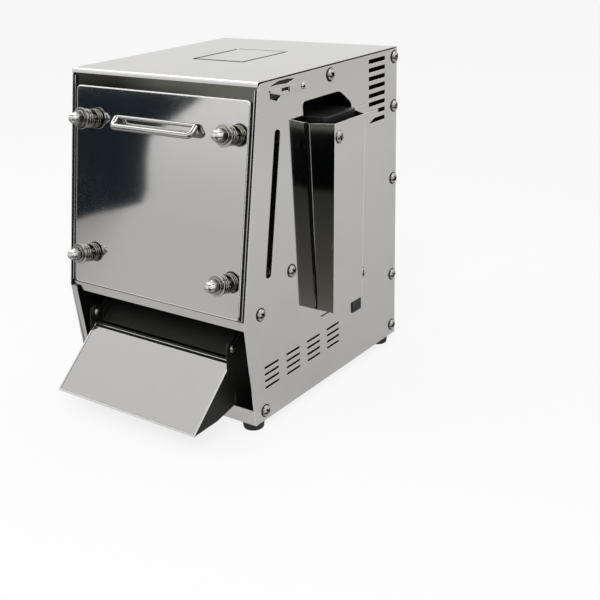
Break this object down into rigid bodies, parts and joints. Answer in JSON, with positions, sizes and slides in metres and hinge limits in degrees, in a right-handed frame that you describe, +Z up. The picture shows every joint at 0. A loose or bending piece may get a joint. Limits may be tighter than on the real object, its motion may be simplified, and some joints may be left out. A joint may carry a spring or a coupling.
{
  "type": "flatbread press",
  "caption": "Compact upright motor-driven flatbread press with a leaning front cover on spring studs, a feed hatch on top, a hinged discharge chute and a side motor cowl",
  "frame": {"origin": "on the ground, under the middle of the overall box", "axes": "+X to the right of the front, +Y to the rear, +Z up"},
  "size_m": [0.3004, 0.3904, 0.388],
  "materials": {
    "polished_steel": "mirror-polished stainless sheet",
    "plain_steel": "plain steel, satin",
    "bright_steel": "bright turned steel",
    "black_plastic": "moulded, matt",
    "black_rubber": "moulded rubber",
    "cast_iron": "cast, machined faces",
    "motor_paint": "black baked paint",
    "platen_aluminium": "machined, satin",
    "heater_steel": "heat-darkened steel sheath",
    "mica": "pressed mica sheet"
  },
  "bodies": {
    "chassis": {"right_panel": "polished_steel", "left_panel": "polished_steel", "top_panel": "polished_steel", "rear_panel": "polished_steel", "base_pan": "polished_steel", "motor_cowl": "polished_steel", "catch_strap": "polished_steel", "front_cover": "polished_steel", "front_frame": "polished_steel", "handle": "polished_steel", "deflector": "polished_steel", "feed_chute": "plain_steel", "motor_stand": "plain_steel", "press_stand": "plain_steel", "left_chute_bracket": "plain_steel", "right_chute_bracket": "plain_steel", "rear_cross_plate": "plain_steel", "left_cam_cheek": "plain_steel", "right_cam_cheek": "plain_steel", "upper_left_spring": "plain_steel", "upper_right_spring": "plain_steel", "lower_left_spring": "plain_steel", "lower_right_spring": "plain_steel", "left_chute_pivot": "bright_steel", "right_chute_pivot": "bright_steel", "left_camshaft_bearing": "bright_steel", "right_camshaft_bearing": "bright_steel", "upper_left_column": "bright_steel", "upper_right_column": "bright_steel", "lower_left_column": "bright_steel", "lower_right_column": "bright_steel", "upper_left_dome_nut": "bright_steel", "upper_right_dome_nut": "bright_steel", "lower_left_dome_nut": "bright_steel", "lower_right_dome_nut": "bright_steel", "switch_body": "black_plastic", "power_inlet": "black_plastic", "temperature_controller": "black_plastic", "front_left_foot": "black_rubber", "front_right_foot": "black_rubber", "rear_left_foot": "black_rubber", "rear_right_foot": "black_rubber", "gearhead": "cast_iron", "motor": "motor_paint", "front_platen": "platen_aluminium", "front_heater": "heater_steel", "front_insulation": "mica"},
    "ram": {"carrier_plate": "plain_steel", "ram_insulation": "mica", "ram_heater": "heater_steel", "ram_platen": "platen_aluminium", "follower_arm": "plain_steel"},
    "follower_roller": {"cam_roller": "bright_steel"},
    "cam": {"camshaft": "plain_steel", "cam_disc": "cast_iron", "drive_gear": "plain_steel"},
    "pinion": {"pinion_shaft": "plain_steel"},
    "chute": {"discharge_chute": "polished_steel"},
    "hatch": {"hatch_lid": "polished_steel"},
    "rocker": {"switch_rocker": "black_plastic"}
  },
  "joints": [
    {"name": "ram_slide", "type": "slide", "parent": "chassis", "child": "ram", "axis": [0, -0.9849, 0.1731], "range_m": [0, 0.044]},
    {"name": "roller_turn", "type": "hinge", "parent": "ram", "child": "follower_roller", "pos_m": [-0.01515, 0.0383, 0.22971], "axis": [1, 0, 0], "continuous": true},
    {"name": "cam_turn", "type": "hinge", "parent": "chassis", "child": "cam", "pos_m": [-0.01515, 0.06588, 0.22486], "axis": [1, 0, 0], "range_deg": [0, 180]},
    {"name": "pinion_turn", "type": "hinge", "parent": "chassis", "child": "pinion", "pos_m": [-0.01515, 0.039, 0.1701], "axis": [1, 0, 0], "range_deg": [-552, 0]},
    {"name": "chute_lift", "type": "hinge", "parent": "chassis", "child": "chute", "pos_m": [-0.01515, -0.1222, 0.101], "axis": [-1, 0, 0], "range_deg": [0, 50]},
    {"name": "hatch_open", "type": "hinge", "parent": "chassis", "child": "hatch", "pos_m": [-0.02055, 0.1067, 0.3855], "axis": [-1, 0, 0], "range_deg": [0, 105]},
    {"name": "switch_press", "type": "hinge", "parent": "chassis", "child": "rocker", "pos_m": [0.11515, 0.0939, 0.08315], "axis": [0, 0, 1], "range_deg": [0, 12]}
  ],
  "couplings": [
    {"joint": "ram_slide", "follows": "cam_turn", "m_per_rad": 0.014006},
    {"joint": "pinion_turn", "follows": "cam_turn", "ratio": -3.0667}
  ]
}
